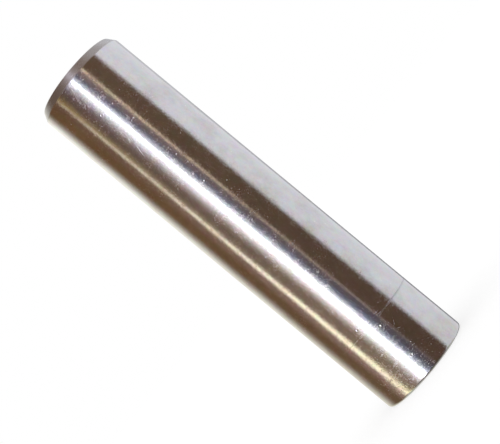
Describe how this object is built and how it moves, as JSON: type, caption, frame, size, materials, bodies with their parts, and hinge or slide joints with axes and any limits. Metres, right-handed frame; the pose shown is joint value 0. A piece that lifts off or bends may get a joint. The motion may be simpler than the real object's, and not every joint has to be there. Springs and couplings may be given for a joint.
{
  "type": "valve guide",
  "caption": "Straight tubular steel valve guide, ground on the outside, with a through stem bore and a tapered lead at one end.",
  "frame": {"origin": "centre of the plain lower end face, on the axis of the guide", "axes": "+Z along the stem bore, from the plain end with the rounded edge to the end with the tapered lead"},
  "size_m": [0.0126, 0.0126, 0.0532],
  "materials": {
    "bright_steel": "centreless-ground and polished bright"
  },
  "bodies": {
    "root": {"valve_guide": "bright_steel"}
  },
  "joints": []
}
